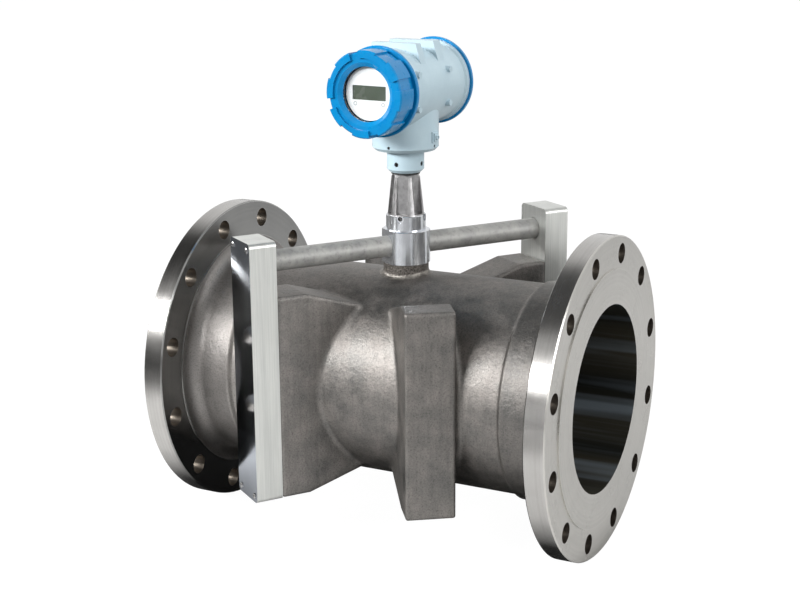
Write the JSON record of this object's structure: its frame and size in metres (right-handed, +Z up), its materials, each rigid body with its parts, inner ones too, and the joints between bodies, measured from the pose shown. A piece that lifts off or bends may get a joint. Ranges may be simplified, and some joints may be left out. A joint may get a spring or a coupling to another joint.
{
  "type": "ultrasonic flow meter",
  "caption": "Flanged ultrasonic flow meter: cast pipe with slanted sensor wings, covered probe ends, cable conduits, tapered stem and a swivelling indicator head with lugged screw covers.",
  "frame": {"origin": "on the pipe axis, halfway between the two flange faces", "axes": "+X along the pipe, +Z up through the stem and the indicator head, the dial faces -Y"},
  "size_m": [0.55, 0.409, 0.6312],
  "materials": {
    "cast_stainless": "blasted stainless casting with machined flange faces",
    "sheet_stainless": "fine brushed stainless sheet",
    "mirror_stainless": "mirror polished stainless plate",
    "polished_stainless": "turned and polished stainless bar",
    "neck_stainless": "milled and brushed stainless",
    "conduit_stainless": "pickled stainless tube",
    "turned_stainless": "turned stainless",
    "dark_screw_steel": "blackened socket screws",
    "probe_metal": "fine turned metal",
    "black_rubber": "soft black seal rubber",
    "head_paint": "satin light blue-grey paint on cast aluminium",
    "cover_paint": "glossy blue paint on cast aluminium",
    "window_glass": "clear toughened glass",
    "dial_plastic": "plain white dial",
    "screen_plastic": "grey-green liquid crystal panel",
    "module_plastic": "black moulded housing",
    "terminal_plastic": "green moulded terminal block",
    "terminal_brass": "plated brass screws"
  },
  "bodies": {
    "base": {"meter_body": "cast_stainless", "stem_block": "polished_stainless", "collar_set_screws": "dark_screw_steel", "tapered_neck": "neck_stainless", "neck_ring": "turned_stainless", "transducer_near_1": "probe_metal", "transducer_near_2": "probe_metal", "transducer_near_3": "probe_metal", "transducer_near_4": "probe_metal", "transducer_o_rings_near": "black_rubber", "transducer_retainers_near": "turned_stainless", "cover_band_near": "sheet_stainless", "end_plate_near": "mirror_stainless", "end_plate_screws_near": "turned_stainless", "cover_fixing_screws_near": "turned_stainless", "conduit_tube_near": "conduit_stainless", "conduit_seal_near": "black_rubber", "conduit_bush_near": "conduit_stainless", "transducer_far_1": "probe_metal", "transducer_far_2": "probe_metal", "transducer_far_3": "probe_metal", "transducer_far_4": "probe_metal", "transducer_o_rings_far": "black_rubber", "transducer_retainers_far": "turned_stainless", "cover_band_far": "sheet_stainless", "end_plate_far": "mirror_stainless", "end_plate_screws_far": "turned_stainless", "cover_fixing_screws_far": "turned_stainless", "conduit_tube_far": "conduit_stainless", "conduit_seal_far": "black_rubber", "conduit_bush_far": "conduit_stainless"},
    "head": {"transmitter_housing": "head_paint", "housing_set_screws": "dark_screw_steel", "skirt_screws": "dark_screw_steel", "entry_plug": "turned_stainless", "earth_clamp": "turned_stainless", "earth_screw": "turned_stainless", "dial_plate": "dial_plastic", "screen_panel": "screen_plastic", "display_module": "module_plastic", "electronics_module": "module_plastic", "module_screws": "turned_stainless", "terminal_block": "terminal_plastic", "terminal_screws": "terminal_brass"},
    "front_seal": {"front_cover_o_ring": "black_rubber"},
    "front_lid": {"front_cover": "cover_paint", "window_glass": "window_glass", "window_retainer": "turned_stainless"},
    "rear_seal": {"rear_cover_o_ring": "black_rubber"},
    "rear_lid": {"rear_cover": "cover_paint"}
  },
  "joints": [
    {"name": "head_swivel", "type": "hinge", "parent": "base", "child": "head", "pos_m": [0, 0, 0.276], "axis": [0, 0, 1], "range_deg": [-175, 175]},
    {"name": "front_cover_travel", "type": "slide", "parent": "head", "child": "front_seal", "axis": [-0.061, -0.9981, 0], "range_m": [0, 0.01201]},
    {"name": "front_cover_turn", "type": "hinge", "parent": "front_seal", "child": "front_lid", "pos_m": [0, 0, 0.372], "axis": [-0.061, -0.9981, 0], "range_deg": [0, 2880]},
    {"name": "rear_cover_travel", "type": "slide", "parent": "head", "child": "rear_seal", "axis": [0.061, 0.9981, 0], "range_m": [0, 0.01201]},
    {"name": "rear_cover_turn", "type": "hinge", "parent": "rear_seal", "child": "rear_lid", "pos_m": [0, 0, 0.372], "axis": [0.061, 0.9981, 0], "range_deg": [0, 2880]}
  ],
  "couplings": [
    {"joint": "front_cover_travel", "follows": "front_cover_turn", "m_per_rad": 0.00023873},
    {"joint": "rear_cover_travel", "follows": "rear_cover_turn", "m_per_rad": 0.00023873}
  ]
}
